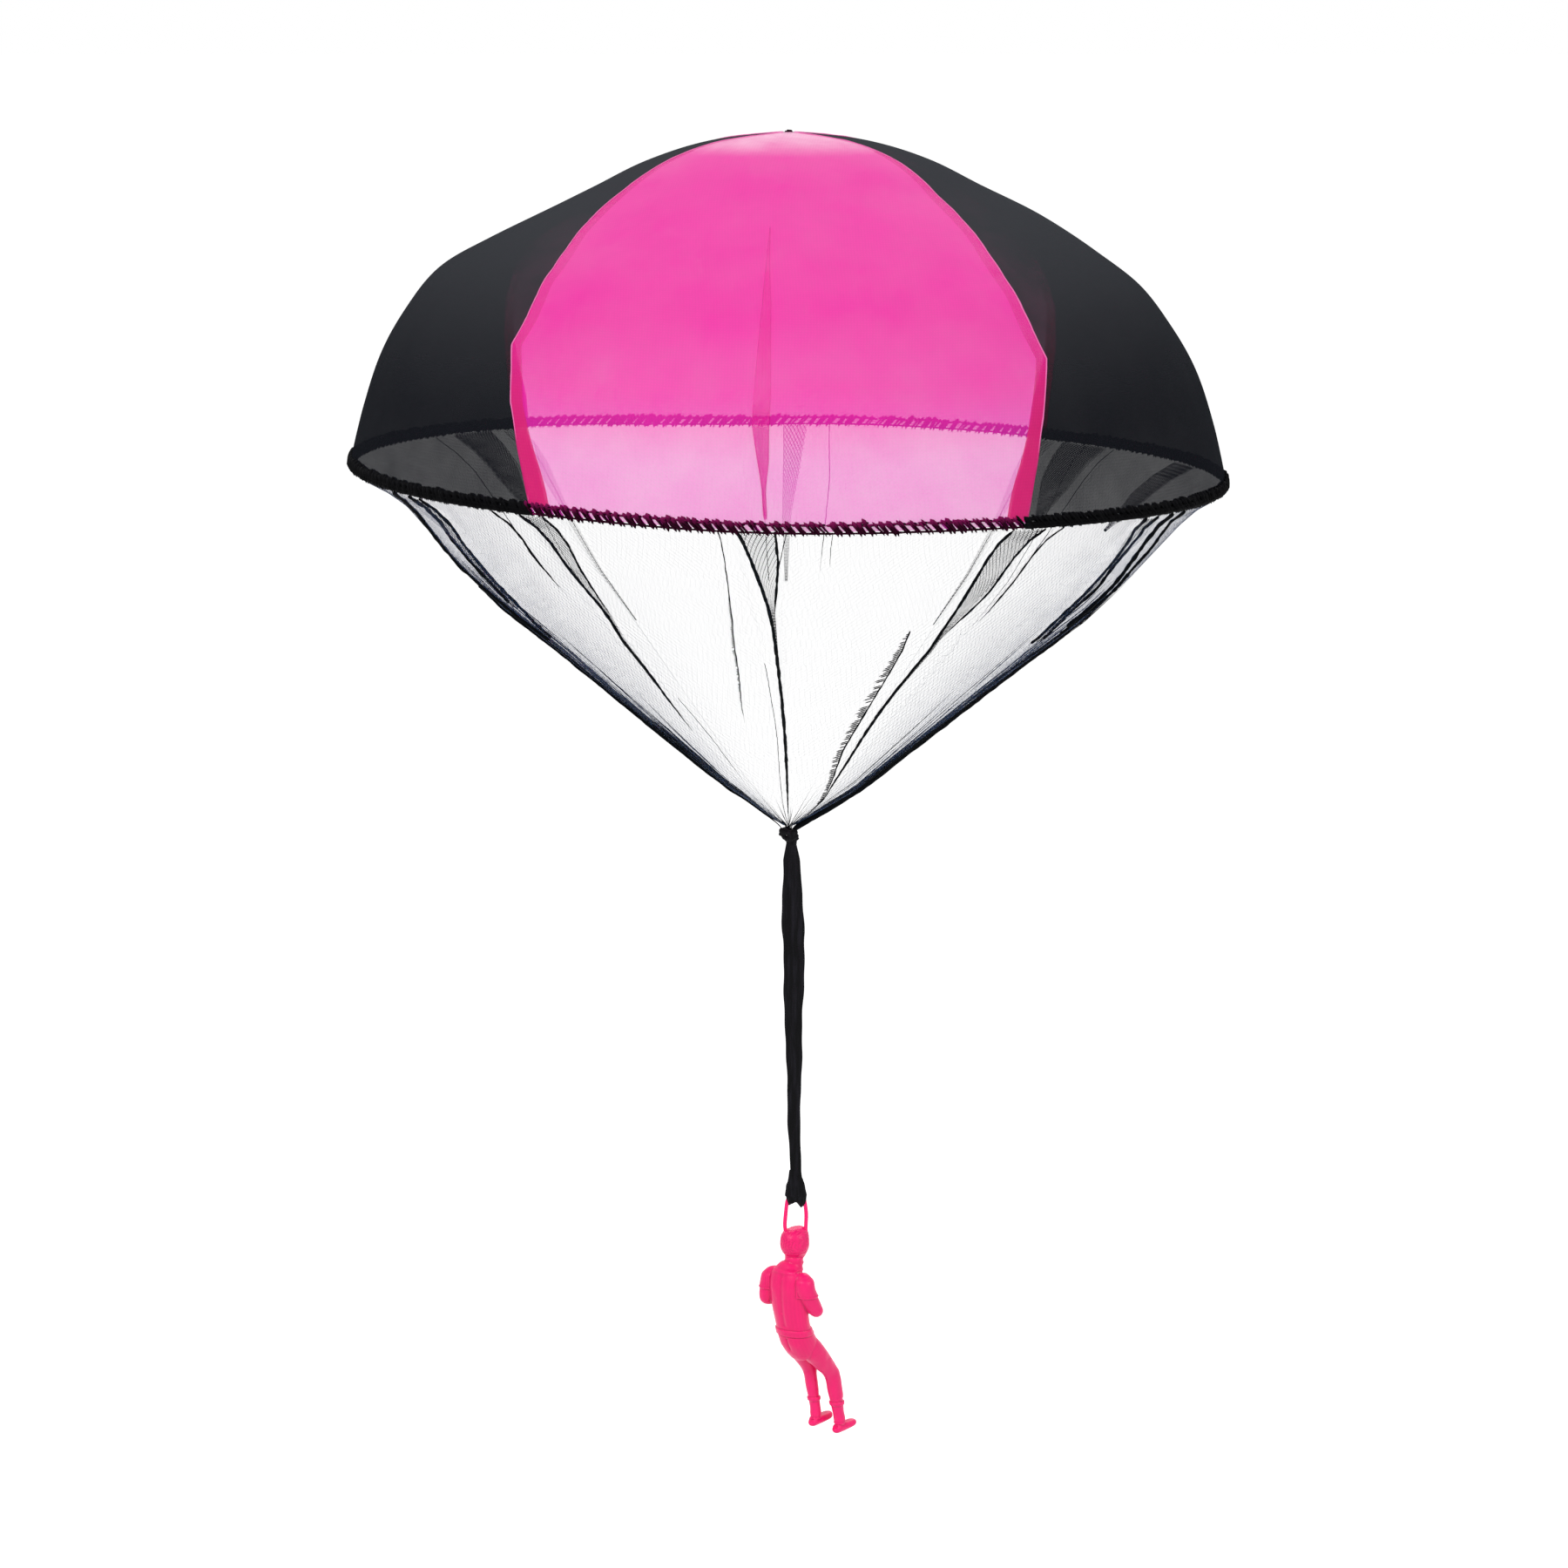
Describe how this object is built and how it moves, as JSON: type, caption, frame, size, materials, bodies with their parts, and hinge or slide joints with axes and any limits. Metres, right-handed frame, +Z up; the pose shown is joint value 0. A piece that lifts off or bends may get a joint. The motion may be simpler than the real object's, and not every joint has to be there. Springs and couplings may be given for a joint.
{
  "type": "toy parachute",
  "caption": "Toy parachute with a sewn pink and black cloth canopy, a gathered black net skirt, a flat cloth strap and a small moulded figure hanging from it.",
  "frame": {"origin": "top of the crown stitch, where the canopy is held up", "axes": "+Z up; the pictured side of the canopy faces -Y; +X is to the right in the picture"},
  "size_m": [0.4553, 0.4558, 0.7042],
  "materials": {
    "pink_cloth": "sheer woven polyester, soft sheen",
    "black_cloth": "sheer woven polyester, soft sheen",
    "pink_seam": "doubled cloth",
    "hem_thread": "overlocked thread",
    "crown_thread": "sewing thread",
    "net_tulle": "open black tulle",
    "strap_cloth": "doubled woven cloth",
    "figure_plastic": "moulded, satin"
  },
  "bodies": {
    "canopy": {"crown_stitch": "crown_thread", "canopy_gore_front": "pink_cloth", "canopy_gore_right": "black_cloth", "canopy_gore_back": "pink_cloth", "canopy_gore_left": "black_cloth", "seam_allowance_front_left": "pink_seam", "seam_allowance_front_right": "pink_seam", "seam_allowance_back_right": "pink_seam", "seam_allowance_back_left": "pink_seam", "hem_front": "hem_thread", "hem_right": "hem_thread", "hem_back": "hem_thread", "hem_left": "hem_thread", "net_panel_front": "net_tulle", "net_panel_right": "net_tulle", "net_panel_back": "net_tulle", "net_panel_left": "net_tulle", "net_seam_front_left": "net_tulle", "net_seam_front_right": "net_tulle", "net_seam_back_right": "net_tulle", "net_seam_back_left": "net_tulle", "net_gather": "net_tulle", "strap_knot": "strap_cloth"},
    "neck": {"strap_neck": "strap_cloth"},
    "upper_strap": {"strap_upper": "strap_cloth"},
    "lower_strap": {"strap_lower": "strap_cloth"},
    "hitch": {"strap_hitch": "strap_cloth"},
    "hanging_figure": {"figure": "figure_plastic"}
  },
  "joints": [
    {"name": "strap_side_swing", "type": "hinge", "parent": "canopy", "child": "neck", "pos_m": [0.00119, 0, -0.37565], "axis": [0, 1, 0], "range_deg": [-60, 60]},
    {"name": "strap_fore_swing", "type": "hinge", "parent": "neck", "child": "upper_strap", "pos_m": [0.00126, 0, -0.38225], "axis": [1, 0, 0], "range_deg": [-60, 60]},
    {"name": "strap_mid_bend", "type": "hinge", "parent": "upper_strap", "child": "lower_strap", "pos_m": [0.00273, 0, -0.46975], "axis": [1, 0, 0], "range_deg": [-45, 45]},
    {"name": "hitch_twist", "type": "hinge", "parent": "lower_strap", "child": "hitch", "pos_m": [0.00359, 0, -0.55315], "axis": [0, 0, 1], "range_deg": [-180, 180]},
    {"name": "figure_swing", "type": "hinge", "parent": "hitch", "child": "hanging_figure", "pos_m": [0.0039, 0, -0.5677], "axis": [1, 0, 0], "range_deg": [-75, 75]}
  ]
}
